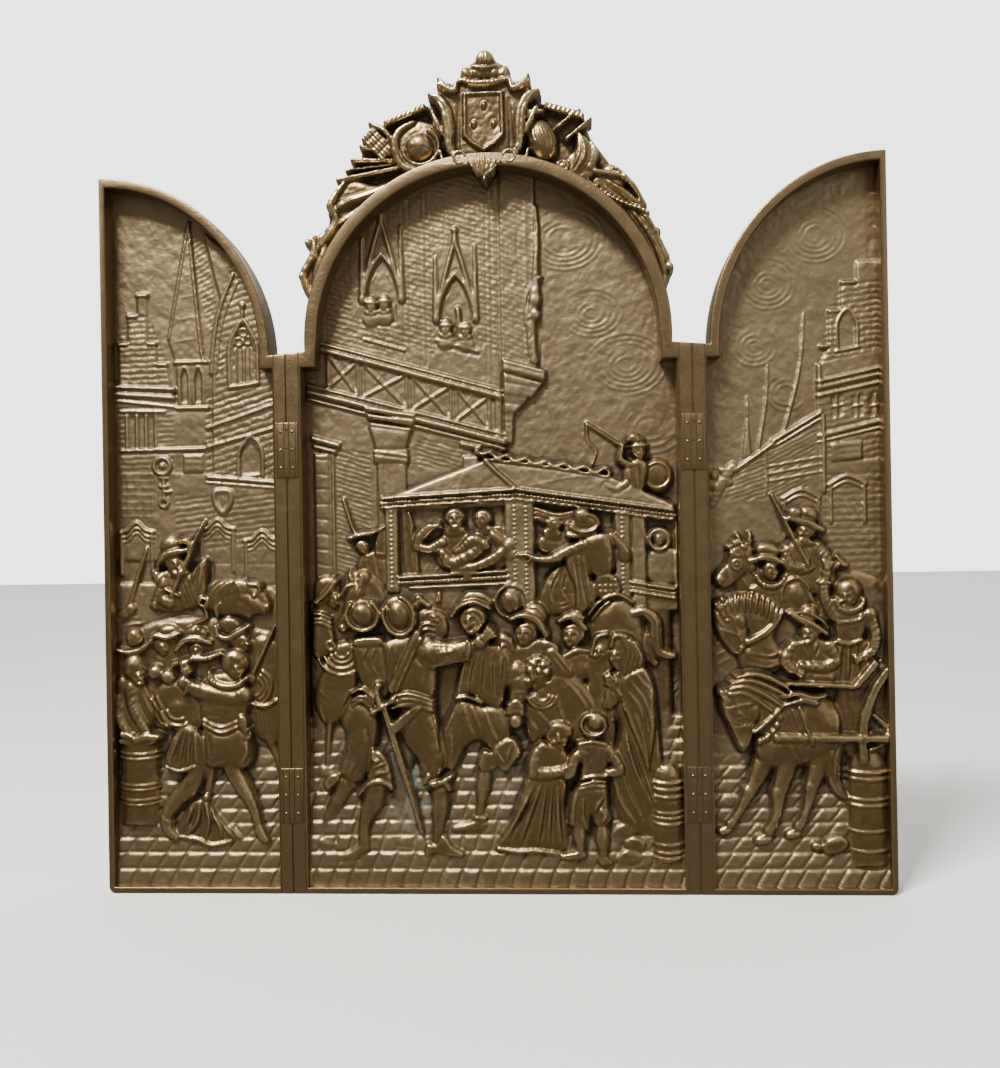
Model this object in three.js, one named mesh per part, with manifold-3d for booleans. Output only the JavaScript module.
// Cast brass wall plaque shaped like an open three-leaf altarpiece: an arched centre leaf with a
// crest of arms, and two wings with quarter-arch tops, each leaf a sunk relief of a street scene.
// Everything is one casting, so everything here is joined into one solid.
//
// The relief is worked in its own flat frame, in millimetres: x across from the centre line, y up
// from the bottom edge, z out from the flat back. The last lines stand it up, with the front
// facing -Y and the origin in the middle of the back.

import * as THREE from "three";
import { mergeVertices } from "three/addons/utils/BufferGeometryUtils.js";
import Module from "manifold-3d";

const wasm = await Module();
wasm.setup();

// ---------------------------------------------------------------------------------------------
// Driving dimensions
// ---------------------------------------------------------------------------------------------

const HALF_WIDTH = 140; // over both wings
const OVERALL_HEIGHT = 300.5; // bottom edge to the top of the crown
const FRAME_DEPTH = 14; // back to the face of the frame
const RIM = 2.2; // outer rim of a wing, and the sill below each relief
const SHOULDER = 193; // top of the flat uprights, where the arches start
const LEDGE_BOTTOM = 188.3; // underside of the small ledge at each arch's foot
const SEAM = 72.2; // groove down the middle of each upright
const ROOT = 1.5; // how low the relief is rooted, inside the back plate
const UNDER_FRAME = 0.6; // how far each relief runs in under its frame
const GRID = 0.75; // pitch at which the relief is sampled before it is faceted
const FACETING = { centre: 1010, wing: 360, crest: 380 }; // surface points given to each relief

const CENTRE = {
  halfWidth: 66.9, // opening below the ledges
  ledgeHalfWidth: 61.5, // opening between the ledges
  archRadius: 61,
  archCentre: 197.5,
  archFace: 4.5,
  floor: 3.2, // back plate under the sky
};

const WING = {
  inner: 77.3, // opening below the ledge
  innerAtLedge: 82,
  archWidth: 61.5, // outer quarter ellipse about the wing's outer edge
  archHeight: 65.6,
  archFace: 3.3,
  floor: 6,
};

const COBBLE = { row: 5.4, joint: 0.7 }; // paving courses: pitch, and depth of their joints
const HINGE = { halfWidth: 4, halfHeight: 9.8, heights: [35.2, 158.8], proud: 0.3 };

// ---------------------------------------------------------------------------------------------
// Solids from three.js geometry
// ---------------------------------------------------------------------------------------------

/** A closed geometry as a solid with its faces pointing out. */
function solid(geometry) {
  const bare = new THREE.BufferGeometry()
    .setAttribute("position", geometry.getAttribute("position"))
    .setIndex(geometry.index);
  const merged = mergeVertices(bare, 1e-4);
  const triVerts = new Uint32Array(merged.index.array);
  return new wasm.Manifold(
    new wasm.Mesh({ numProp: 3, vertProperties: merged.attributes.position.array, triVerts }),
  );
}

/** A flat-topped form with the given anticlockwise outline, from `bottom` up to `top`. */
function prism(outline, top, bottom) {
  const shape = new THREE.Shape(outline.map(([x, y]) => new THREE.Vector2(x, y)));
  const depth = top - bottom;
  const geometry = new THREE.ExtrudeGeometry(shape, { depth, bevelEnabled: false });
  return solid(geometry.translate(0, 0, bottom));
}

function rectangle(x0, x1, y0, y1) {
  return [
    [x0, y0],
    [x1, y0],
    [x1, y1],
    [x0, y1],
  ];
}

/** Points of an elliptical arc, in degrees from the +x direction. */
function arc([x, y], rx, ry, from, to, steps) {
  return Array.from({ length: steps + 1 }, (_, i) => {
    const angle = THREE.MathUtils.degToRad(from + ((to - from) * i) / steps);
    return [x + rx * Math.cos(angle), y + ry * Math.sin(angle)];
  });
}

// ---------------------------------------------------------------------------------------------
// Relief forms: each has a bounding box and gives its height over a point, or nothing beside it
// ---------------------------------------------------------------------------------------------

/**
 * A rounded bar: a limb, fold, moulding or strap. Each station is [x, y, half width, crown
 * height]; the sides fall by `drop` times the half width. Its ends are round unless blunt.
 */
function bar(stations, { drop = 0.8, blunt = false } = {}) {
  const reach = Math.max(...stations.map((station) => station[2]));
  const height = (x, y) => {
    let best;
    for (let i = 0; i + 1 < stations.length; i++) {
      const [ax, ay, aHalf, aCrown] = stations[i];
      const [bx, by, bHalf, bCrown] = stations[i + 1];
      const [dx, dy] = [bx - ax, by - ay];
      const along = ((x - ax) * dx + (y - ay) * dy) / (dx * dx + dy * dy);
      if (blunt && (along < 0 || along > 1)) continue;
      const t = Math.min(Math.max(along, 0), 1);
      const half = aHalf + (bHalf - aHalf) * t;
      const off = Math.hypot(x - ax - dx * t, y - ay - dy * t) / half;
      if (off >= 1) continue;
      const level = aCrown + (bCrown - aCrown) * t - half * drop * (1 - Math.sqrt(1 - off * off));
      if (best === undefined || level > best) best = level;
    }
    return best;
  };
  const xs = stations.map((station) => station[0]);
  const ys = stations.map((station) => station[1]);
  return {
    bounds: [
      Math.min(...xs) - reach,
      Math.max(...xs) + reach,
      Math.min(...ys) - reach,
      Math.max(...ys) + reach,
    ],
    height,
  };
}

/** A straight fillet of one width between two points, square in section. */
function line([x0, y0], [x1, y1], half, crown) {
  const run = new THREE.Vector2(x1 - x0, y1 - y0).normalize().multiplyScalar(half);
  return plate(
    [
      [x0 + run.y, y0 - run.x],
      [x1 + run.y, y1 - run.x],
      [x1 - run.y, y1 + run.x],
      [x0 - run.y, y0 + run.x],
    ],
    crown,
  );
}

/** A domed oval form: a head, hat, fist or boss. `turn` is in degrees. */
function dome(x, y, rx, ry, crown, { turn = 0, drop = 0.85 } = {}) {
  const angle = THREE.MathUtils.degToRad(turn);
  const [cos, sin] = [Math.cos(angle), Math.sin(angle)];
  const fall = Math.min(rx, ry) * drop;
  const reach = Math.max(rx, ry);
  const height = (px, py) => {
    const [dx, dy] = [px - x, py - y];
    const off = Math.hypot((dx * cos + dy * sin) / rx, (dy * cos - dx * sin) / ry);
    return off < 1 ? crown - fall * (1 - Math.sqrt(1 - off * off)) : undefined;
  };
  return { bounds: [x - reach, x + reach, y - reach, y + reach], height };
}

/** A raised ring of round section. */
function ring(x, y, radius, half, crown) {
  const reach = radius + half;
  const height = (px, py) => {
    const off = (Math.hypot(px - x, py - y) - radius) / half;
    return Math.abs(off) < 1 ? crown - half * (1 - Math.sqrt(1 - off * off)) : undefined;
  };
  return { bounds: [x - reach, x + reach, y - reach, y + reach], height };
}

/** A flat area at one height inside an outline. */
function plate(outline, top) {
  const xs = outline.map((point) => point[0]);
  const ys = outline.map((point) => point[1]);
  const height = (x, y) => {
    let inside = false;
    outline.forEach(([ax, ay], i) => {
      const [bx, by] = outline[(i + 1) % outline.length];
      if (ay > y !== by > y && x < ax + ((y - ay) / (by - ay)) * (bx - ax)) inside = !inside;
    });
    return inside ? top : undefined;
  };
  return {
    bounds: [Math.min(...xs), Math.max(...xs), Math.min(...ys), Math.max(...ys)],
    height,
    crisp: () => prism(outline, top, ROOT),
  };
}

/** The same area cut down to a height, through whatever was laid there before. */
function sunkPlate(outline, top) {
  return { ...plate(outline, top), sinks: true };
}

function box(x0, x1, y0, y1, top) {
  return plate(rectangle(x0, x1, y0, y1), top);
}

/** Paving that climbs from the back of a relief to its sill, one rounded course at a time. */
function paving(x0, x1, y0, y1, sill, back) {
  const rows = Math.round((y1 - y0) / COBBLE.row);
  const at = (course) => y0 + ((y1 - y0) * course) / rows;
  const rise = (course) => sill + (back - sill) * Math.pow(Math.max(course, 0) / rows, 0.8);
  const crisp = () => {
    const profile = [
      [ROOT, y0 - 2],
      [sill - 1, y0 - 2],
    ];
    for (let row = 0; row < rows; row++) {
      profile.push([rise(row) - COBBLE.joint, at(row)]);
      profile.push([rise(row + 0.3), at(row + 0.35)]);
    }
    profile.push([back - COBBLE.joint, y1], [ROOT, y1 + 2]);
    const shape = new THREE.Shape(profile.map(([z, y]) => new THREE.Vector2(-z, y)));
    const run = new THREE.ExtrudeGeometry(shape, { depth: x1 - x0, bevelEnabled: false });
    return solid(run.rotateY(Math.PI / 2).translate(x0, 0, 0));
  };
  const height = (x, y) => rise(((y - y0) / (y1 - y0)) * rows) - COBBLE.joint * 1.6;
  return { bounds: [x0, x1, y0 - 2, y1], height, crisp };
}

// ---------------------------------------------------------------------------------------------
// From forms to a faceted solid
// ---------------------------------------------------------------------------------------------

/** Relief heights sampled on a square grid over a rectangle. */
class ReliefSheet {
  constructor(x0, x1, y0, y1, floor) {
    this.origin = [x0, y0];
    this.columns = Math.ceil((x1 - x0) / GRID) + 1;
    this.rows = Math.ceil((y1 - y0) / GRID) + 1;
    this.heights = new Float64Array(this.columns * this.rows).fill(floor);
  }

  /** Lays forms on the sheet in order; the higher surface wins, unless a form sinks it. */
  lay(forms) {
    for (const { bounds, height, sinks } of forms.flat(Infinity)) {
      const [c0, c1] = this.cells(bounds[0], bounds[1], this.origin[0], this.columns);
      const [r0, r1] = this.cells(bounds[2], bounds[3], this.origin[1], this.rows);
      for (let r = r0; r <= r1; r++) {
        for (let c = c0; c <= c1; c++) {
          const level = height(this.origin[0] + c * GRID, this.origin[1] + r * GRID);
          const i = r * this.columns + c;
          if (level !== undefined && (sinks || level > this.heights[i])) this.heights[i] = level;
        }
      }
    }
    return this;
  }

  cells(from, to, origin, count) {
    const first = Math.max(0, Math.ceil((from - origin) / GRID));
    return [first, Math.min(count - 1, Math.floor((to - origin) / GRID))];
  }

  /** Rounds off the sheet's steps over about one cell. */
  soften() {
    const { columns, rows, heights } = this;
    const clamp = (value, top) => Math.min(Math.max(value, 0), top);
    this.heights = heights.map((own, i) => {
      const [c, r] = [i % columns, Math.floor(i / columns)];
      const at = (dc, dr) =>
        heights[clamp(r + dr, rows - 1) * columns + clamp(c + dc, columns - 1)];
      return (own * 2 + at(1, 0) + at(-1, 0) + at(0, 1) + at(0, -1)) / 6;
    });
    return this;
  }

  /** A solid of the sheet from `bottom` up, with the given number of surface points. */
  toSolid(points, bottom) {
    const { columns, rows, heights } = this;
    const mesh = new FacetedSurface(columns, rows, (c, r) => heights[r * columns + c]);
    mesh.refine(points);
    const place = ([c, r]) => [this.origin[0] + c * GRID, this.origin[1] + r * GRID];
    const positions = [];
    const count = mesh.points.length;
    for (const base of [false, true]) {
      for (const point of mesh.points) {
        positions.push(...place(point), base ? bottom : mesh.height(...point));
      }
    }
    const index = [];
    const open = new Map();
    for (const [a, b, c] of mesh.triangles) {
      index.push(a, b, c, a + count, c + count, b + count);
      for (const [from, to] of [
        [a, b],
        [b, c],
        [c, a],
      ]) {
        if (!open.delete(`${to},${from}`)) open.set(`${from},${to}`, [from, to]);
      }
    }
    for (const [from, to] of open.values()) {
      index.push(from, from + count, to + count, from, to + count, to);
    }
    const geometry = new THREE.BufferGeometry()
      .setAttribute("position", new THREE.Float32BufferAttribute(positions, 3))
      .setIndex(index);
    return solid(geometry);
  }
}

/**
 * A triangulated surface through grid points. It starts as two triangles and gains the points
 * where it strays most from the grid's heights over a large area, each joined in by Delaunay's
 * rule.
 */
class FacetedSurface {
  constructor(columns, rows, height) {
    this.columns = columns;
    this.height = height;
    const [right, top] = [columns - 1, rows - 1];
    this.points = [
      [0, 0],
      [right, 0],
      [right, top],
      [0, top],
    ];
    this.used = new Set(this.points.map(([c, r]) => r * columns + c));
    this.triangles = [
      [0, 1, 2],
      [0, 2, 3],
    ];
  }

  refine(target) {
    while (this.points.length < target) {
      const worst = this.triangles
        .map((triangle) => this.farthest(triangle))
        .filter((found) => found.error > 0.02)
        .sort((a, b) => b.error * b.area - a.error * a.area);
      if (!worst.length) return;
      const share = Math.ceil(worst.length * 0.2);
      for (const { point } of worst.slice(0, Math.min(share, target - this.points.length))) {
        this.insert(point);
      }
    }
  }

  /** The grid point inside a triangle that lies farthest above or below it. */
  farthest([a, b, c]) {
    const corners = [a, b, c].map((i) => this.points[i]);
    const levels = corners.map((corner) => this.height(...corner));
    const [[ax, ay], [bx, by], [cx, cy]] = corners;
    const area = (bx - ax) * (cy - ay) - (cx - ax) * (by - ay);
    const found = { error: 0, area };
    for (let y = Math.min(ay, by, cy); y <= Math.max(ay, by, cy); y++) {
      for (let x = Math.min(ax, bx, cx); x <= Math.max(ax, bx, cx); x++) {
        const v = ((x - ax) * (cy - ay) - (cx - ax) * (y - ay)) / area;
        const w = ((bx - ax) * (y - ay) - (x - ax) * (by - ay)) / area;
        const u = 1 - v - w;
        if (u < 0 || v < 0 || w < 0 || this.used.has(y * this.columns + x)) continue;
        const flat = u * levels[0] + v * levels[1] + w * levels[2];
        const error = Math.abs(this.height(x, y) - flat);
        if (error > found.error) Object.assign(found, { error, point: [x, y] });
      }
    }
    return found;
  }

  insert([x, y]) {
    const key = y * this.columns + x;
    if (this.used.has(key)) return;
    this.used.add(key);
    const added = this.points.push([x, y]) - 1;
    const rim = new Map();
    this.triangles = this.triangles.filter((triangle) => {
      if (!this.circleHolds(triangle, x, y)) return true;
      const [a, b, c] = triangle;
      for (const [from, to] of [
        [a, b],
        [b, c],
        [c, a],
      ]) {
        if (!rim.delete(`${to},${from}`)) rim.set(`${from},${to}`, [from, to]);
      }
      return false;
    });
    for (const [from, to] of rim.values()) {
      const [[ax, ay], [bx, by]] = [this.points[from], this.points[to]];
      if ((bx - ax) * (y - ay) - (x - ax) * (by - ay) > 0) {
        this.triangles.push([from, to, added]);
      }
    }
  }

  circleHolds(triangle, x, y) {
    const [[ax, ay], [bx, by], [cx, cy]] = triangle.map((i) => {
      const [px, py] = this.points[i];
      return [px - x, py - y];
    });
    const [a, b, c] = [ax * ax + ay * ay, bx * bx + by * by, cx * cx + cy * cy];
    return a * (bx * cy - cx * by) - b * (ax * cy - cx * ay) + c * (ax * by - bx * ay) > 0;
  }
}

const mirrored = (outline) => outline.map(([x, y]) => [-x, y]).reverse();

// ---------------------------------------------------------------------------------------------
// Frame: three leaves, the uprights between them and the paving at the foot of each relief
// ---------------------------------------------------------------------------------------------

/** Outline of the centre relief's opening, grown by a margin under the frame. */
function centreOpening(grow = 0) {
  const [half, ledge] = [CENTRE.halfWidth + grow, CENTRE.ledgeHalfWidth + grow];
  const radius = CENTRE.archRadius + grow;
  return [
    [-half, RIM - grow],
    [half, RIM - grow],
    [half, LEDGE_BOTTOM + grow],
    [ledge, LEDGE_BOTTOM + grow],
    [ledge, CENTRE.archCentre - 3],
    ...arc([0, CENTRE.archCentre], radius, radius, 0, 180, 24),
    [-ledge, CENTRE.archCentre - 3],
    [-ledge, LEDGE_BOTTOM + grow],
    [-half, LEDGE_BOTTOM + grow],
  ];
}

/** Outline of the right wing's opening, grown by a margin under the frame. */
function rightWingOpening(grow = 0) {
  const width = WING.archWidth - WING.archFace + grow;
  const height = WING.archHeight - WING.archFace + grow;
  const outer = HALF_WIDTH - RIM + grow;
  const meets = THREE.MathUtils.radToDeg(Math.acos((outer - HALF_WIDTH) / width));
  return [
    [WING.inner - grow, RIM - grow],
    [outer, RIM - grow],
    ...arc([HALF_WIDTH, SHOULDER], width, height, meets, 180, 14),
    [WING.innerAtLedge - grow, LEDGE_BOTTOM + grow],
    [WING.inner - grow, LEDGE_BOTTOM + grow],
  ];
}

const rightWingTop = [
  [HALF_WIDTH, SHOULDER - 1],
  ...arc([HALF_WIDTH, SHOULDER], WING.archWidth, WING.archHeight, 90, 180, 16),
  [HALF_WIDTH - WING.archWidth, SHOULDER - 1],
];

const archOuter = CENTRE.archRadius + CENTRE.archFace;

const centreTop = [
  [archOuter + 0.6, SHOULDER - 1],
  ...arc([0, CENTRE.archCentre], archOuter, archOuter, 0, 180, 24),
  [-archOuter - 0.6, SHOULDER - 1],
];

function frame() {
  const corner = 2.5;
  const block = [
    ...arc([-HALF_WIDTH + corner, corner], corner, corner, 180, 270, 3),
    ...arc([HALF_WIDTH - corner, corner], corner, corner, 270, 360, 3),
    [HALF_WIDTH, SHOULDER],
    [-HALF_WIDTH, SHOULDER],
  ];
  const above = FRAME_DEPTH + 1;
  const leaves = [block, rightWingTop, mirrored(rightWingTop), centreTop];
  let body = leaves.map((outline) => prism(outline, FRAME_DEPTH, 0)).reduce((a, b) => a.add(b));
  body = body.subtract(prism(centreOpening(), above, CENTRE.floor - 0.5));
  for (const outline of [rightWingOpening(), mirrored(rightWingOpening())]) {
    body = body.subtract(prism(outline, above, WING.floor - 0.5));
  }
  for (const side of [-1, 1]) {
    const x = side * SEAM;
    const groove = rectangle(x - 0.4, x + 0.4, -1, SHOULDER + 1);
    body = body.subtract(prism(groove, above, FRAME_DEPTH - 0.7));
    for (const y of HINGE.heights) body = body.add(hinge(x, y));
  }
  return body;
}

/** The flat leaf of an imitation hinge, cast on the upright. */
function hinge(x, y) {
  const { halfWidth, halfHeight, proud } = HINGE;
  const outline = rectangle(x - halfWidth, x + halfWidth, y - halfHeight, y + halfHeight);
  return prism(outline, FRAME_DEPTH + proud, FRAME_DEPTH - 2);
}

// ---------------------------------------------------------------------------------------------
// Motifs used in every leaf
// ---------------------------------------------------------------------------------------------

/** A head with a brimmed hat; `tilt` turns the brim, in degrees. */
function hattedHead(x, y, radius, crown, { tilt = 0, brim = 1.75, rise = 0.75 } = {}) {
  return [
    dome(x, y, radius * 0.85, radius, crown),
    dome(x, y + radius * rise, radius * brim, radius * 0.42, crown + 0.3, { turn: tilt }),
    dome(x, y + radius * (rise + 0.45), radius * 0.9, radius * 0.75, crown, { turn: tilt }),
  ];
}

/** A soldier's open helmet seen from behind: a deep bowl in a turned-up brim. */
function helmet(x, y, radius, crown) {
  return [
    ring(x, y, radius, 1, crown - 0.6),
    dome(x + radius * 0.12, y + radius * 0.1, radius * 0.72, radius * 0.8, crown),
  ];
}

/** Paving of a wing: steep near the sill, then flatter behind. */
function wingPaving(x0, x1) {
  return [paving(x0, x1, RIM + 0.9, 29.9, 12, 8.8), paving(x0, x1, 29.6, 51.5, 9, 6.5)];
}

/** A round stone post with banded hoops and a domed top. */
function bollard(x, halfWidth, foot, top, crown, hoops, topDome = true) {
  const shaft = bar(
    [
      [x, foot, halfWidth, crown],
      [x, top, halfWidth * 0.92, crown],
    ],
    { blunt: true, drop: 0.5 },
  );
  const bands = hoops.map((y) =>
    bar(
      [
        [x - halfWidth * 1.03, y + 0.4, 1, crown - halfWidth * 0.42],
        [x - halfWidth * 0.5, y - 0.2, 1, crown + 0.1],
        [x + halfWidth * 0.5, y - 0.2, 1, crown + 0.1],
        [x + halfWidth * 1.03, y + 0.4, 1, crown - halfWidth * 0.42],
      ],
      { blunt: true, drop: 0.9 },
    ),
  );
  const cap = topDome
    ? [dome(x, top, halfWidth * 0.9, halfWidth * 0.95, crown, { drop: 0.6 })]
    : [];
  return [shaft, bands, cap];
}

/** A pointed window: two shafts that meet in an arch, and a steep gable over it. */
function pointedWindow(x, sill, spring, apex, halfWidth, gable, crown) {
  const left = x - halfWidth;
  const right = x + halfWidth;
  return [
    line([left, sill], [left, spring], 0.8, crown),
    line([right, sill], [right, spring], 0.8, crown),
    line([left, spring], [x, apex], 0.8, crown),
    line([right, spring], [x, apex], 0.8, crown),
    line([left, spring + 4], [x, gable], 0.7, crown + 0.2),
    line([right, spring + 4], [x, gable], 0.7, crown + 0.2),
  ];
}

/** A leg bent at the knee: loose breeches, a bare shin and a shoe. */
function leg(hip, knee, ankle, toe, crown, { thigh = 7, calf = 3.4 } = {}) {
  return [
    bar([
      [hip[0], hip[1], thigh, crown],
      [(hip[0] + knee[0]) / 2, (hip[1] + knee[1]) / 2, thigh * 1.05, crown + 0.5],
      [knee[0], knee[1], thigh * 0.62, crown],
    ]),
    bar([
      [knee[0], knee[1], calf, crown - 0.6],
      [(knee[0] * 2 + ankle[0]) / 3, (knee[1] * 2 + ankle[1]) / 3, calf * 1.1, crown - 0.3],
      [ankle[0], ankle[1], calf * 0.62, crown - 0.6],
    ]),
    bar([
      [ankle[0], ankle[1] - 1, calf * 0.75, crown - 0.4],
      [toe[0], toe[1], calf * 0.6, crown - 0.5],
    ]),
  ];
}

/** A horse's barrel, rump and chest as three overlapping masses. */
function horseBody(rump, middle, chest, radius, crown) {
  return [
    dome(rump[0], rump[1], radius * 1.02, radius * 1.1, crown, { drop: 0.5 }),
    dome(middle[0], middle[1], radius * 1.5, radius * 0.95, crown - 0.3, {
      drop: 0.5,
    }),
    dome(chest[0], chest[1], radius * 0.95, radius * 1.15, crown - 0.2, { drop: 0.5 }),
  ];
}

// ---------------------------------------------------------------------------------------------
// Centre leaf
// ---------------------------------------------------------------------------------------------

function centreBuildings() {
  const wall = 4.2;
  const corner = [4.5, 17];
  const facade = plate(
    [
      [-66, 113],
      [corner[0], 113],
      [corner[0], 160],
      [8.5, 161],
      [8.5, 171],
      [13.5, 175],
      [20, 182],
      [20.5, 186],
      [corner[1], 188],
      ...arc([0, CENTRE.archCentre], 63, 63, 74, 176, 9),
      [-63, 192],
      [-66, 190],
    ],
    wall,
  );
  const sideWall = box(corner[0], corner[1], 187, 256, wall + 0.7);
  const corbel = [
    line([5, 188.5], [20.5, 184.5], 1.9, 7.4),
    line([5.5, 180], [15.5, 178.4], 2, 6.6),
    line([7, 160], [7, 188], 2.2, 5.6),
  ];
  const cornices = [
    line([-61, 198.5], [5.5, 179.3], 1.7, 6.4),
    line([-65, 181.4], [6.5, 161.6], 1.1, 6.6),
    line([-65, 178.4], [6, 159.2], 1.3, 6),
  ];
  const braces = [-1, 0, 1].map((bay) => {
    const x = -16 + bay * 22;
    const top = 179 - (x - 0) * 0.285;
    return [
      line([x - 9, top + 2], [x + 9, top - 15], 0.7, 5),
      line([x - 9, top - 9], [x + 9, top - 3.5], 0.7, 5),
    ];
  });
  const windows = [
    pointedWindow(-38.5, 206, 219, 229.5, 6.6, 238, 5.6),
    pointedWindow(-11.5, 200, 212, 224, 6.6, 239, 5.6),
  ];
  const niche = [line([14, 189], [14, 248], 0.6, 6)];
  return [facade, sideWall, corbel, cornices, braces, windows, niche];
}

/** People at the upper windows, and the worn statue in the corner niche. */
function nicheAndOnlookers() {
  const onlookers = [
    [-43, 211.5],
    [-37.8, 211.5],
    [-15.5, 203],
    [-8, 201.8],
  ].map(([x, y]) => [dome(x, y, 1.9, 2.2, 6.4), dome(x, y - 4, 2.8, 2.6, 5.8)]);
  const statue = bar([
    [17, 204, 1.6, 6.4],
    [18, 212, 2.2, 7],
    [17.4, 222, 1.4, 6.2],
    [18.4, 240, 0.8, 5.6],
  ]);
  return [onlookers, statue];
}

function pilasters() {
  const shaft = (x, half, y0, y1, crown) => box(x - half, x + half, y0, y1, crown);
  return [
    shaft(-36, 5.5, 138, 154, 6.6),
    shaft(-36, 6.3, 153.4, 159.4, 7.2),
    shaft(-36.2, 8.6, 162.5, 169, 8),
    line([-45, 171.5], [-27, 168.6], 1.4, 8.4),
    shaft(-59.5, 3.8, 110, 160, 6.2),
    line([-65.5, 163.5], [-54.5, 160.3], 1.7, 7.2),
  ];
}

function coach() {
  const wall = 7;
  const body = [
    [-38.5, 107],
    [64, 105.5],
    [66, 134],
    [9, 142],
    [-38.5, 139],
  ];
  const openings = [
    [-33, 4, 113.5, 137],
    [17, 43, 108, 137],
    [55.5, 65, 110, 131],
  ].map(([x0, x1, y0, y1]) => sunkPlate(rectangle(x0, x1, y0, y1), wall - 1.8));
  const roof = plate(
    [
      [-38.5, 140.5],
      [9.5, 143],
      [65, 134.5],
      [65, 137],
      [43, 147.5],
      [-1.5, 154.5],
    ],
    8.2,
  );
  return [
    plate(body, wall),
    openings,
    roof,
    bar([
      [-1.5, 153.6, 1.2, 9.2],
      [3, 148.5, 1, 9.6],
      [9.5, 143.4, 0.8, 9.8],
    ]),
    bar([
      [-3, 157.5, 1.5, 8.6],
      [0.5, 155, 1.8, 9],
      [22, 151.6, 1.2, 8.8],
      [41, 147.6, 1.2, 8.6],
    ]),
    // the two people behind the first window, one reaching across to the other
    dome(-12.5, 133.2, 3.3, 3.9, 9),
    dome(-4, 132.8, 3.1, 3.7, 8.6),
    bar([
      [-25, 124, 3.4, 7.8],
      [-17, 122, 4.6, 9],
      [-8, 117.5, 3, 9.6],
      [-3, 121, 2.4, 9.4],
    ]),
    bar([
      [-14, 117.5, 2.8, 9],
      [-6, 116.8, 3.4, 9.4],
      [2.5, 124, 3, 8.8],
      [-2.5, 128, 3, 8],
    ]),
    bar([
      [-26, 122.5, 1.8, 8.4],
      [-23.5, 128.5, 1.9, 8.8],
      [-18.5, 128.5, 1.8, 8.6],
    ]),
    // the person behind the second window, and a curtain
    dome(22.5, 129, 3, 3.6, 8.4),
    bar([
      [20, 122, 3.4, 7.6],
      [22, 112, 4, 7.8],
      [21.5, 103, 4, 7.8],
    ]),
    // a garland in the third window
    ring(60, 124, 3, 1.3, 7.6),
  ];
}

/** Eaves, posts and sills of the coach. */
function coachTimbers() {
  return [
    line([-39.5, 140.3], [9.5, 142.8], 1.3, 10.2),
    line([9, 142.8], [66, 134.4], 1.3, 10),
    line([-36, 107], [-36, 139], 1.9, 8.4),
    line([-33.5, 112.6], [5.5, 114], 1.3, 9),
    line([10.5, 106], [10.5, 141], 3.6, 8.4),
    line([47, 107], [46.5, 136], 2.6, 8.4),
    line([53.2, 107], [52.6, 135], 1.6, 8.2),
    line([49, 109], [65.5, 106.5], 1.3, 8.8),
  ];
}

/** The whip on the roof, the near soldier's sword and a sword and spear in the crowd. */
function centreWeapons() {
  return [
    line([49.5, 157], [35, 167], 0.7, 6),
    line([35, 167], [39, 151], 0.5, 5),
    line([-61.4, 152], [-50, 120], 0.8, 6.8),
    line([-58, 126.6], [-43, 128.8], 0.8, 7.4),
    line([-40.8, 74], [-26.6, 22], 0.9, 13.2),
    line([-43.6, 64], [-35.6, 68], 0.9, 13.4),
  ];
}

/** The driver's mate on the roof, cracking a whip. */
function whipBearer() {
  return [
    hattedHead(53.6, 155.8, 3.3, 8.6, { brim: 1.3 }),
    bar([
      [51, 150.5, 2.6, 8],
      [50.6, 145.5, 2.4, 8.4],
      [48.5, 142.5, 1.8, 8.4],
    ]),
    dome(60, 147, 5.6, 6.6, 6.6, { drop: 0.4 }),
  ];
}

/** The man in a plumed hat who leans in at the coach door, from behind. */
function doorMan() {
  return [
    dome(34, 130, 8.6, 3.3, 11, { turn: 4 }),
    dome(33.4, 133, 4, 3.4, 11.2),
    dome(29.5, 127.6, 3, 3.4, 9.8),
    dome(39.4, 119.5, 7.2, 7.6, 10.4, { drop: 0.5 }),
    bar([
      [34, 123, 3, 10.4],
      [23, 118.8, 2.6, 10.4],
      [14, 119.6, 1.6, 9.8],
      [10, 120, 0.8, 9.6],
    ]),
    bar([
      [34, 119, 5, 9.6],
      [33.4, 110, 4.4, 9.4],
      [31.6, 101, 3.4, 9],
    ]),
    dome(47.4, 119.2, 3, 3.4, 9.8),
    dome(41.5, 108.4, 4.6, 4.8, 10),
  ];
}

/** A ridden horse seen from behind, with its tail, and its fore-rider's helmets. */
function coachHorse() {
  return [
    dome(44, 94.5, 9.6, 11.5, 9.6, { drop: 0.5 }),
    bar([
      [51, 97, 2.4, 9],
      [57.6, 97.5, 2.8, 9.4],
      [59.2, 89, 3, 9],
      [58, 80, 2, 8.2],
    ]),
    line([33, 101.4], [52, 103.2], 1.2, 10.4),
  ];
}

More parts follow.
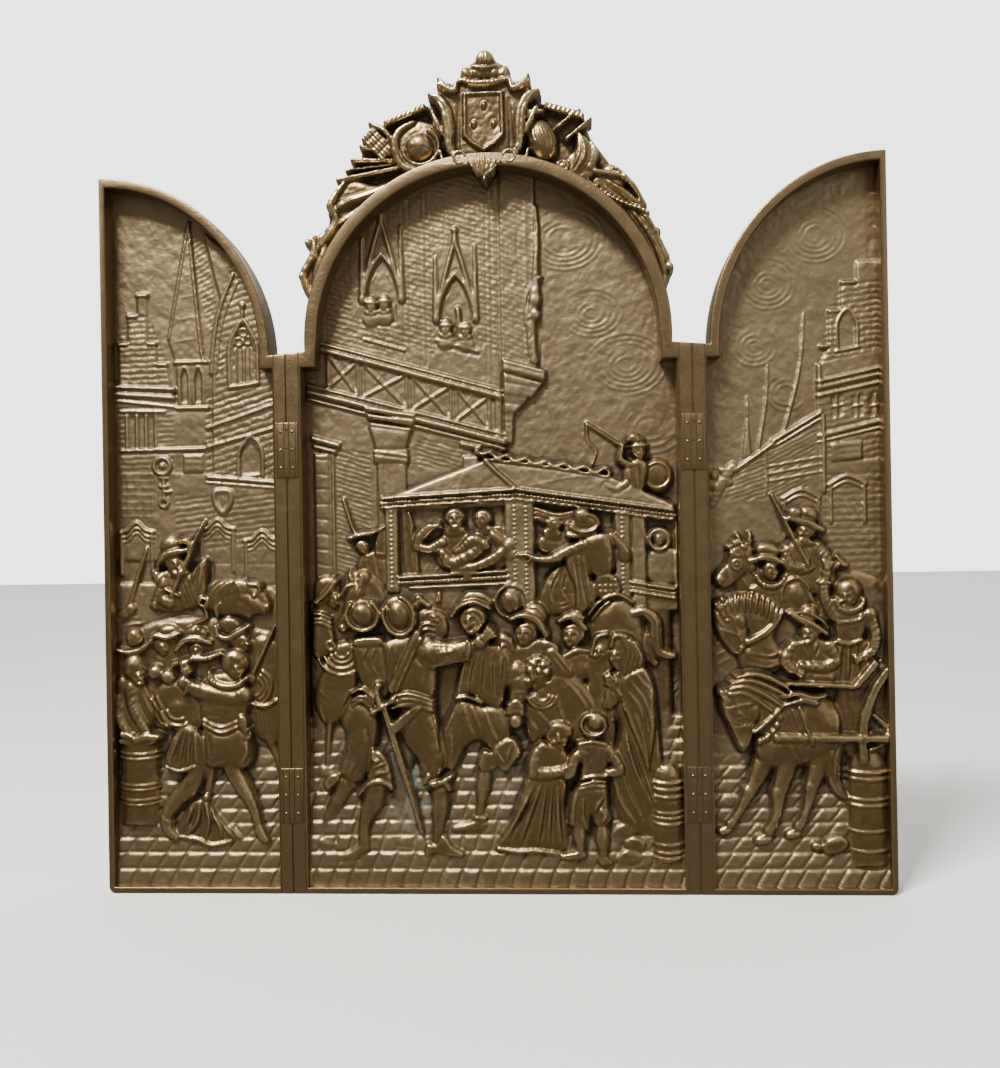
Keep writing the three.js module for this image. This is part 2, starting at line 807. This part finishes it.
/** Two soldiers from behind; the nearer one grips the prisoner's collar. */
function soldiers() {
  return [
    helmet(-47, 99, 6.6, 12.2),
    helmet(-33.4, 99, 6.8, 12.6),
    // far soldier
    bar([
      [-45, 89, 6.4, 10.6],
      [-44.5, 78, 6, 10.4],
      [-45, 70, 6, 10.4],
    ]),
    leg([-49, 62], [-56, 42], [-60, 27], [-63, 24], 10),
    leg([-44, 64], [-42.5, 42], [-46.5, 24], [-50, 15], 11.6, { thigh: 6.4, calf: 4 }),
    // near soldier
    bar(
      [
        [-30, 89, 8.2, 11.6],
        [-28.5, 80, 7, 12.2],
        [-27.5, 71, 6.4, 12],
      ],
      { drop: 0.55 },
    ),
    bar([
      [-25, 85, 4, 12.6],
      [-16, 85.4, 4, 13],
      [-9, 87.2, 3.4, 13],
      [-2, 90.5, 2.4, 13.2],
    ]),
    line([-34.5, 69], [-19, 69.4], 2, 13),
    leg([-26.5, 60], [-20.5, 40], [-20, 19.5], [-13, 14.2], 12.6, { thigh: 8 }),
    leg([-30, 58], [-33.5, 42], [-34, 22], [-30, 16.5], 9.8, { thigh: 6.6 }),
    bar([
      [-33, 66, 2.4, 12.8],
      [-36.5, 58, 2, 12],
    ]),
  ];
}

/** The bearded captive between the soldiers and the crowd. */
function prisoner() {
  return [
    dome(-6.6, 96.5, 4.6, 5.6, 12.2),
    dome(-5.6, 103.4, 8, 2.6, 11.2, { turn: 4 }),
    bar([
      [-7, 88, 6, 10.6],
      [-5, 78, 7, 11.4],
      [-5.5, 69, 7.6, 11.4],
    ]),
    leg([-12, 62], [-6, 43], [-5, 26], [-12, 23], 10.6, { thigh: 7 }),
    leg([-2, 60], [4.6, 49], [7, 44], [9, 43], 10.8, { thigh: 6.4, calf: 2.6 }),
    bar([
      [6, 86, 4.4, 10.6],
      [9, 76, 4.2, 11.4],
      [8.8, 65, 3, 11.8],
    ]),
    dome(8.2, 61, 2.8, 2.8, 12.2),
  ];
}

/** Onlookers behind the captive, and the bending man in front of them. */
function crowd() {
  return [
    hattedHead(-20.5, 100.5, 3.2, 9, { brim: 1.2 }),
    dome(6.8, 103, 5, 4.8, 9.4),
    hattedHead(12.6, 91.5, 4.4, 11, { tilt: -10 }),
    hattedHead(28.6, 91.5, 3.8, 10, { brim: 1.3 }),
    dome(4, 86.5, 3.6, 4, 10.4),
    dome(16.2, 77, 5.6, 6.4, 11.6),
    bar(
      [
        [21, 79, 5.6, 10.6],
        [29, 72, 8, 11],
        [31, 60, 8.4, 9.6],
      ],
      { drop: 0.5 },
    ),
    dome(30.5, 80, 4.2, 4.4, 10.4),
    dome(22, 87.5, 4.2, 4, 8.8),
  ];
}

/** Two hooded women, the nearer in a long cloak with clasped hands. */
function hoodedWomen() {
  return [
    dome(38.4, 85.5, 4, 5, 10.4),
    dome(45.6, 84, 5.6, 7.6, 12),
    bar(
      [
        [46, 78, 6.4, 11.4],
        [48.5, 64, 9.6, 11.8],
        [50, 45, 8.6, 11],
        [51, 25, 9, 10.6],
      ],
      { drop: 0.5 },
    ),
    bar([
      [50, 76, 3.4, 12.6],
      [53.4, 62, 3, 12.8],
      [54.6, 46, 1.4, 12],
    ]),
    dome(43, 74.4, 2.4, 3, 12.8),
    bar([
      [38, 76, 3.6, 10.2],
      [38.4, 64, 4.4, 10],
      [40.4, 50, 4, 9.4],
    ]),
  ];
}

/** A girl and a boy in front of the crowd. */
function children() {
  return [
    dome(23.2, 55, 4.6, 4.8, 12.4),
    bar([
      [20, 48, 5, 11.6],
      [19.6, 42, 4.2, 11.8],
    ]),
    bar(
      [
        [19, 41, 4.2, 11.8],
        [15, 28, 8.6, 12.2],
        [12.4, 16, 11.4, 12.6],
      ],
      { drop: 0.4 },
    ),
    bar([
      [15.8, 48, 2.2, 12.4],
      [15.4, 42, 2.2, 12.8],
      [24.5, 42.6, 1.8, 13],
    ]),
    hattedHead(35.6, 57, 3.4, 12.2, { brim: 1.45 }),
    bar([
      [35.6, 52, 5.4, 12],
      [35, 42, 5, 12.4],
    ]),
    bar([
      [31, 50, 2.2, 12.6],
      [27, 43, 2, 12.8],
      [23, 41, 1.5, 12.8],
    ]),
    bar([
      [40.6, 50, 2.2, 12.4],
      [45.4, 43.4, 2, 12.2],
      [41, 39.6, 1.5, 12.2],
    ]),
    bar([
      [32.6, 38, 4, 12.2],
      [29.6, 28, 4.4, 12.8],
      [29.8, 20, 2.2, 12.8],
      [30.6, 13.6, 2.2, 13],
    ]),
    bar([
      [36.6, 38, 4, 12.2],
      [38, 28, 4, 12.8],
      [38, 18, 2.2, 13],
      [40, 12.4, 2.4, 13.2],
    ]),
  ];
}

/** Mounted men, a horse's head and spears crowding in behind the soldiers. */
function centreLeftCrowd() {
  return [
    bar([
      [-50, 112, 2.6, 8.6],
      [-50.4, 104, 3.8, 9.4],
      [-53.4, 96, 2.6, 9.8],
    ]),
    hattedHead(-59.5, 102.5, 3.2, 8.4, { tilt: 35, brim: 1.5 }),
    dome(-61, 91, 5, 7, 9.4),
    bar(
      [
        [-53.6, 88, 6, 9.6],
        [-55, 72, 6, 9],
        [-60, 58, 4, 8.4],
      ],
      { drop: 0.5 },
    ),
    hattedHead(-49, 122.5, 2.7, 7.6, { brim: 1.4, tilt: 8 }),
  ];
}

function centreLeaf() {
  const ground = paving(-CENTRE.halfWidth - 1, CENTRE.halfWidth + 1, RIM + 0.9, 45, 12, 5);
  const carved = [
    ground,
    nicheAndOnlookers(),
    coach(),
    whipBearer(),
    doorMan(),
    coachHorse(),
    centreLeftCrowd(),
    soldiers(),
    prisoner(),
    crowd(),
    hoodedWomen(),
    children(),
    bollard(60.6, 5.2, 11, 40, 12.8, [14.5, 26, 36.4]),
  ];
  return [carved, [ground, centreBuildings(), pilasters(), coachTimbers(), centreWeapons()]];
}

// ---------------------------------------------------------------------------------------------
// Left leaf: a scuffle in front of stepped gables
// ---------------------------------------------------------------------------------------------

function leftBuildings() {
  const wall = 6.9;
  const gable = plate(
    [
      [-138, 150],
      [-115, 150],
      [-115, 179],
      [-118, 183],
      [-118, 192],
      [-122, 192],
      [-122, 200],
      [-125.5, 200],
      [-125.5, 217],
      [-129, 217],
      [-129, 210],
      [-133, 210],
      [-133, 200],
      [-138, 200],
    ],
    wall,
  );
  const tower = plate(
    [
      [-114, 150],
      [-102, 150],
      [-102, 193],
      [-109, 243],
      [-116.5, 200],
      [-114, 193],
    ],
    wall - 0.3,
  );
  const nave = plate(
    [
      [-102, 100],
      [-77, 100],
      [-77, 189],
      [-81, 197],
      ...arc([-HALF_WIDTH, SHOULDER], 60, 64, 12, 50, 5),
      [-104, 238],
      [-98, 215],
      [-102, 190],
    ],
    wall,
  );
  return [
    gable,
    tower,
    nave,
    line([-138, 183], [-117, 182], 0.8, 8.4),
    line([-138, 180], [-116, 177.6], 1.1, 8),
    line([-136, 160.6], [-104, 160.6], 0.8, 8),
    line([-120, 142], [-120, 151], 1.2, 8),
    line([-101.5, 189], [-99.5, 208], 0.8, 8),
    line([-99.7, 207], [-93.4, 222], 0.8, 8),
    pointedWindow(-89.6, 183, 197, 206, 4.8, 211, 7.8),
    line([-104, 150], [-79, 148], 0.8, 8),
    line([-104, 168], [-78, 176], 0.6, 7.8),
    line([-104, 161], [-78, 166], 0.6, 7.8),
    line([-110, 240], [-98, 192], 0.8, 7.8),
    box(-132, -124.5, 161, 173, 7.7),
    box(-111.5, -105.5, 177, 188, 7.5),
  ];
}

/** A lantern hook and a plain boss on the house fronts. */
function leftLantern() {
  return [ring(-120.5, 154.4, 2.8, 0.8, 8.4), dome(-98, 141, 3.4, 4, 8)];
}

/** Two men grappling over a third; one has a fist raised. */
function leftFighters() {
  return [
    dome(-95.4, 81.4, 4.4, 4.8, 12.4),
    bar([
      [-102, 78, 2, 11.6],
      [-96, 75.2, 2, 12],
      [-90, 77.5, 2, 11.6],
    ]),
    bar(
      [
        [-99, 74, 8.4, 11.4],
        [-97, 63, 8, 12],
        [-97.4, 52, 9, 12.4],
      ],
      { drop: 0.45 },
    ),
    bar([
      [-91, 70.4, 3.2, 12.6],
      [-102, 70.6, 3.6, 13],
      [-112.6, 76, 3, 12.8],
    ]),
    dome(-112, 80.6, 2.8, 3, 12.8),
    bar(
      [
        [-115, 74, 7.4, 10.8],
        [-113.4, 62, 8, 11.6],
        [-112.6, 50, 8.2, 12],
      ],
      { drop: 0.45 },
    ),
    dome(-120, 79.6, 4.4, 4.4, 11.4),
    leg([-109, 47], [-114, 34], [-120.4, 24], [-118, 20.4], 12.2, { thigh: 5.4 }),
    leg([-95, 46], [-89, 36], [-86, 26], [-84.4, 21.4], 12.2, { thigh: 5.4 }),
    // a bent man behind them with his hands on the post
    dome(-131.2, 80.4, 4.4, 4.8, 11.4),
    bar([
      [-130, 74, 5, 10.6],
      [-129, 62, 4.6, 10.8],
      [-127, 56, 3.6, 11],
    ]),
    // a fallen cloak between the men's feet
    bar([
      [-101, 37, 3.4, 10.4],
      [-103.6, 28, 6.6, 10.8],
      [-105, 21, 10, 11.2],
    ]),
  ];
}

function leftCrowd() {
  return [
    hattedHead(-131.8, 88.6, 3.2, 10, { brim: 1.6 }),
    hattedHead(-118.8, 90, 3, 9.8, { brim: 1.7 }),
    hattedHead(-108.6, 89, 3, 9.6, { brim: 1.7 }),
    hattedHead(-93.4, 89.4, 3.6, 10.2, { brim: 1.7 }),
    bar([
      [-134, 74, 4, 9.2],
      [-120, 84, 5, 9.4],
      [-104, 84, 5, 9.2],
      [-86, 76, 5, 9.2],
      [-82, 58, 4, 9],
    ]),
    // rider with a drawn sword
    hattedHead(-115.4, 121, 3.8, 10, { tilt: 8, brim: 1.5 }),
    bar([
      [-118.6, 116, 4.4, 9.4],
      [-119, 106, 4.6, 9.8],
    ]),
    bar([
      [-110, 116, 3.6, 9.2],
      [-105, 106, 3, 9],
    ]),
    dome(-117.4, 105.4, 2.2, 2.2, 10.8),
    dome(-134.4, 101.4, 3, 4, 9.2),
    // his horse's arched neck and head
    bar([
      [-106, 101, 3.6, 9.6],
      [-100, 109, 4.2, 10.2],
      [-91, 108, 4.4, 10.6],
      [-83, 102, 2.6, 10.4],
    ]),
    bar([
      [-103, 96, 5, 9],
      [-92, 97, 5, 9.2],
      [-82, 95, 4, 9],
    ]),
  ];
}

function leftWeapons() {
  return [
    line([-86, 78], [-77.6, 97.6], 1, 10.6),
    line([-117, 106], [-104.8, 133.6], 1, 10.8),
    line([-133, 104], [-127, 124.4], 0.9, 9),
  ];
}

function leftLeaf() {
  const ground = wingPaving(-HALF_WIDTH + 1, -WING.inner + 1);
  const post = bollard(-130, 7.6, 24, 55, 12, [31.4, 45, 49.6], false);
  const carved = [ground, leftLantern(), leftCrowd(), leftFighters(), post];
  return [carved, [ground, leftBuildings(), leftWeapons()]];
}

// ---------------------------------------------------------------------------------------------
// Right leaf: a market cart and riders below a tall gabled house
// ---------------------------------------------------------------------------------------------

function rightBuildings() {
  const wall = 6.9;
  const gable = plate(
    [
      [116, 150],
      [138, 150],
      [138, 215],
      [131, 215],
      [131, 206],
      [125.5, 206],
      [125.5, 196],
      [121, 196],
      [121, 184],
      [118, 180],
      [116, 176],
    ],
    wall,
  );
  const houses = plate(
    [
      [77, 100],
      [138, 100],
      [138, 151],
      [118, 151],
      [118, 169],
      [101, 160],
      [96, 155],
      [86, 149],
      [77, 151],
    ],
    wall,
  );
  return [
    gable,
    houses,
    line([116.6, 177.6], [138, 182.6], 0.9, 8.4),
    line([118, 174.4], [138, 179.4], 0.8, 8),
    line([100.6, 158.6], [118.6, 169], 0.9, 8.2),
    line([116, 160], [138, 165.4], 1, 7.8),
    line([88, 149], [101.6, 158.6], 0.8, 8),
    line([99.6, 184], [95.6, 156], 0.6, 7),
    line([112.6, 203], [110, 180], 0.6, 7),
    line([110, 181], [104.4, 161], 0.7, 7.2),
    plate(
      [
        [89, 149],
        [93.4, 149],
        [92.2, 169],
      ],
      7.2,
    ),
    box(122, 131, 152, 158, 7.7),
    line([86, 149.5], [79, 138], 2, 7.6),
  ];
}

/** The cart with its driver and passenger, and the horse between the shafts. */
function cart() {
  return [
    horseBody([117.6, 60], [107, 57.6], [97, 59], 9.4, 12.2),
    bar([
      [99, 66, 6.4, 12.2],
      [91, 67, 6, 12.6],
      [85.4, 66.4, 5, 12.8],
      [87, 58, 4, 13],
      [88, 51.6, 2.8, 12.8],
    ]),
    leg([94, 49], [85, 33], [82, 25], [80.4, 22.4], 12, { thigh: 4.6, calf: 2.8 }),
    leg([103, 48], [100, 36], [97.4, 24], [96.6, 21.4], 12.2, { thigh: 4.6, calf: 2.8 }),
    leg([114, 49], [109, 34], [106, 23], [104.4, 20.6], 12.2, { thigh: 4.6, calf: 2.8 }),
    bar([
      [120.4, 55, 3, 11.4],
      [118, 44, 2.8, 10.8],
      [120.6, 34, 1.4, 10.4],
    ]),
    bar([
      [136.6, 76, 1.7, 12.6],
      [131.4, 66, 1.7, 12.8],
      [129, 56, 1.7, 12.8],
      [129, 48, 1.7, 12.4],
    ]),
    hattedHead(110.8, 91.6, 3.7, 11.6, { brim: 1.9 }),
    bar(
      [
        [111.6, 86, 6.6, 11],
        [111.6, 77, 8, 11.4],
      ],
      { drop: 0.5 },
    ),
    bar([
      [104.6, 84, 2.4, 11.8],
      [107, 77.6, 2.4, 12.4],
      [117, 78.6, 2, 12.4],
    ]),
    dome(125.2, 104.2, 4.4, 4.9, 11.4),
    dome(125, 98.4, 5, 2.4, 11),
    bar(
      [
        [126.4, 95, 6.4, 10.8],
        [127, 85, 4.8, 11],
        [127, 75, 7, 11],
      ],
      { drop: 0.5 },
    ),
    bar([
      [133, 94, 2.6, 11.4],
      [134.6, 86, 2.3, 11.6],
      [130.4, 82, 1.9, 11.6],
    ]),
    bar([
      [121, 96.4, 2.6, 11],
      [117.4, 104, 2.2, 10.8],
      [117, 111.4, 1.7, 10.6],
    ]),
  ];
}

function riders() {
  return [
    // rider with a sword
    hattedHead(111, 125.8, 3.9, 10.4, { tilt: -8, brim: 1.5 }),
    bar(
      [
        [110.6, 119, 7, 9.8],
        [109.6, 108, 6.6, 10],
      ],
      { drop: 0.5 },
    ),
    bar([
      [117, 119, 2.6, 10.2],
      [120, 112, 2, 10.2],
    ]),
    // man in a cap between two horses
    hattedHead(97.6, 113.6, 3.6, 9.8, { brim: 1.4 }),
    dome(107, 104, 4.4, 5, 9.6),
    bar([
      [92, 111, 4.2, 9.4],
      [86, 120, 4.4, 9.8],
      [82, 112, 2.8, 9.8],
      [80, 109, 2.2, 9.4],
    ]),
    bar([
      [104, 88, 6, 9.6],
      [97, 99, 5.6, 10.2],
      [87, 98, 5.2, 10.8],
      [86, 87, 3.2, 10.8],
    ]),
    bar([
      [80, 99, 4, 9.4],
      [79.4, 84, 4, 9],
      [92, 79, 4, 9],
    ]),
  ];
}

/** The cart's shaft and boards, and the rider's sword. */
function rightTimbers() {
  return [
    line([98.6, 54.6], [128, 54.2], 1.8, 13.2),
    line([98, 74.4], [127.6, 72], 1.6, 12.6),
    line([127, 72], [134.6, 81.4], 1.5, 12.6),
    line([99.6, 139], [111.8, 115.4], 0.8, 9.8),
  ];
}

function rightLeaf() {
  const ground = wingPaving(WING.inner - 1, HALF_WIDTH - 1);
  const post = bollard(130.4, 7.2, 9, 44, 12.4, [15, 27, 39.4]);
  const stone = dome(119, 16, 4, 2.6, 12.8);
  return [[ground, riders(), cart(), post, stone], [ground, rightBuildings(), rightTimbers()]];
}

// ---------------------------------------------------------------------------------------------
// Crest: a trophy of arms along the centre arch, with a cartouche and a crown
// ---------------------------------------------------------------------------------------------

const CREST_PLATE = 7;
const PALMETTE_TIP = 251.4; // the palmette hangs over the top of the recess

/** Silhouette of the crest: the drapery, banners and drums. */
function crestOutline() {
  const left = [
    [-63, 210],
    [-66.5, 216],
    [-68.3, 222],
    [-65, 229],
    [-64, 235],
    [-57.5, 239.5],
    [-57, 246],
    [-53, 253.5],
    [-45.4, 265],
    [-44.6, 270.5],
    [-38.6, 276.5],
    [-30, 278.4],
    [-22, 283],
    [-16.6, 284.6],
    [-15.6, 290.4],
    [-9.4, 289.6],
    [-7.6, 293.4],
    [-4, 298.8],
  ];
  const right = [
    [5, 298.8],
    [8.4, 293.4],
    [10, 289.6],
    [16, 290],
    [17, 284.2],
    [22, 282.4],
    [31, 279.6],
    [36.6, 276],
    [38.4, 269.6],
    [46, 259],
    [51, 254],
    [50.6, 249.6],
    [57.6, 240.4],
    [62.4, 233],
    [66, 226],
    [66.4, 219],
    [63, 210],
  ];
  const top = arc([0.5, OVERALL_HEIGHT - 2.4], 2.6, 2.4, 150, 30, 4);
  const bed = CENTRE.archRadius + CENTRE.archFace / 2;
  const under = [
    ...arc([0, CENTRE.archCentre], bed, bed, 12, 84, 12),
    [0.4, PALMETTE_TIP],
    ...arc([0, CENTRE.archCentre], bed, bed, 96, 168, 12),
  ];
  return [...left, ...top, ...right, ...under].reverse();
}

/** Gathered drapery that hangs along one side of the arch. */
function crestDrapery(side, crown) {
  const inner = CENTRE.archRadius + 3.6;
  const at = (radius, angle) => [
    side * radius * Math.cos(angle),
    CENTRE.archCentre + radius * Math.sin(angle),
  ];
  return [69.5, 70, 69.6, 71].map((outer, fold) => {
    const angle = THREE.MathUtils.degToRad(24 + fold * 9.5);
    return bar([
      [...at(inner, angle + 0.1), 1.8, crown - 1],
      [...at(outer, angle), 2.8, crown],
      [...at(outer, angle - 0.14), 1.7, crown - 1.4],
    ]);
  });
}

function crestTrophies() {
  const fan = (hub, tips, half, crown) =>
    tips.map((tip) =>
      bar(
        [
          [hub[0], hub[1], half * 0.5, crown],
          [tip[0], tip[1], half, crown - 0.8],
        ],
        { blunt: true },
      ),
    );
  const left = [
    ring(-23, 268, 8.2, 1.1, 12.2),
    dome(-23, 268, 5.4, 5.6, 13.6),
    fan(
      [-31, 262],
      [
        [-42, 270.6],
        [-45.4, 264.6],
        [-50.4, 258.6],
        [-52, 254.4],
      ],
      1.9,
      11.6,
    ),
    line([-39, 275.6], [-23, 281.6], 1.2, 10),
    line([-36, 271], [-30, 276.6], 1.6, 10.4),
  ];
  const right = [
    dome(20.4, 268.4, 5.6, 8.4, 13.2, { turn: 22 }),
    dome(33.6, 263, 5, 6.4, 12.6, { turn: -28 }),
    ring(28.6, 258.6, 3, 1.4, 12.4),
    line([27, 268], [38, 275], 1, 11),
    line([22, 276], [34, 278.6], 1.2, 10),
    line([37, 256], [50, 253.4], 1.6, 11.6),
    bar([
      [36, 251.6, 1.1, 11.4],
      [46, 247, 1.2, 12],
      [57, 239, 1.4, 11.6],
    ]),
  ];
  return [left, right];
}

/** The scrolled cartouche with its shield, palmette and crown. */
function cartouche() {
  const body = plate(
    [
      [-9.6, 257.6],
      [-13.4, 266],
      [-13.6, 276],
      [-16.4, 285],
      [-15.4, 290.4],
      [-9, 288.8],
      [-8.2, 291.8],
      [8.6, 291.8],
      [9.4, 288.8],
      [15.8, 289.6],
      [16.6, 284.6],
      [13.8, 276],
      [13.6, 266],
      [9.8, 257.6],
    ],
    11.6,
  );
  const shield = [
    [-7, 285.4],
    [-7.2, 269],
    [-3.4, 265.8],
    [0.3, 263.6],
    [4, 265.8],
    [7.6, 269],
    [7.4, 285.4],
  ];
  const inset = shield.map(([x, y]) => [0.2 + (x - 0.2) * 0.8, 275 + (y - 275) * 0.84]);
  const charges = [
    [0.3, 280.4],
    [-3, 274],
    [3.6, 274],
  ].map(([x, y]) => dome(x, y, 1.1, 1.5, 14));
  const palmette = [-2, -1, 0, 1, 2].map((step) =>
    bar([
      [0.4, 253.6 + Math.abs(step) * 0.4, 0.8, 14.8],
      [0.4 + step * 2.4, 258.6 - Math.abs(step) * 0.3, 1.6, 15.4],
      [0.4 + step * 3.1, 261.4 - Math.abs(step) * 0.4, 1.3, 14.8],
    ]),
  );
  const scroll = (side) => [
    bar([
      [0.3 + side * 12, 264, 1.6, 13.4],
      [0.3 + side * 10.6, 273, 1.7, 14],
      [0.3 + side * 12, 282, 1.7, 14.2],
      [0.3 + side * 15.4, 289.4, 1.3, 13.6],
    ]),
    dome(0.3 + side * 8.7, 261.4, 2.8, 2.6, 14.6),
  ];
  const crown = [
    dome(0.5, 291.4, 8.4, 5.4, 11.4),
    ring(0.5, 289.6, 7, 1, 12.6),
    [-1, 0, 1].map((step) => dome(0.5 + step * 3.6, 295, 2.2, 4.6, 13.4, { turn: -step * 24 })),
    dome(0.5, OVERALL_HEIGHT - 2.3, 2.3, 2.3, 12.6),
  ];
  return [
    body,
    plate(shield, 14),
    sunkPlate(inset, 12.6),
    charges,
    palmette,
    scroll(-1),
    scroll(1),
    crown,
  ];
}

function crestLeaf() {
  return [[crestDrapery(-1, 11.6), crestDrapery(1, 11.4), crestTrophies(), cartouche()], []];
}

// ---------------------------------------------------------------------------------------------
// The casting
// ---------------------------------------------------------------------------------------------

/**
 * A leaf's relief, trimmed to its outline. The carved forms are faceted together as one sheet,
 * and the masonry, mouldings and paving are added as crisp solids.
 */
function relief(carved, masonry, outline, floor, points) {
  const xs = outline.map((point) => point[0]);
  const ys = outline.map((point) => point[1]);
  const sheet = new ReliefSheet(
    Math.min(...xs) - 1,
    Math.max(...xs) + 1,
    Math.min(...ys) - 1,
    Math.max(...ys) + 1,
    floor,
  );
  let block = sheet.lay(carved).soften().soften().toSolid(points, ROOT);
  for (const form of masonry.flat(Infinity)) block = block.add(form.crisp());
  return block.intersect(prism(outline, FRAME_DEPTH + 9, ROOT - 1));
}

const casting = frame()
  .add(relief(...centreLeaf(), centreOpening(UNDER_FRAME), CENTRE.floor, FACETING.centre))
  .add(relief(...leftLeaf(), mirrored(rightWingOpening(UNDER_FRAME)), WING.floor, FACETING.wing))
  .add(relief(...rightLeaf(), rightWingOpening(UNDER_FRAME), WING.floor, FACETING.wing))
  .add(prism(crestOutline(), CREST_PLATE, 0))
  .add(relief(...crestLeaf(), crestOutline(), CREST_PLATE, FACETING.crest));

const surface = casting.getMesh();
const geometry = new THREE.BufferGeometry()
  .setAttribute("position", new THREE.BufferAttribute(surface.vertProperties, 3))
  .setIndex(new THREE.BufferAttribute(surface.triVerts, 1));
geometry.computeVertexNormals();

const brass = new THREE.MeshStandardMaterial({
  color: 0x8a6d45,
  roughness: 0.45,
  metalness: 0.9,
});

const plaque = new THREE.Mesh(geometry, brass);
plaque.name = "plaque";
plaque.rotation.x = Math.PI / 2;
plaque.position.z = -OVERALL_HEIGHT / 2;

const part = new THREE.Group();
part.add(plaque);

export default part;
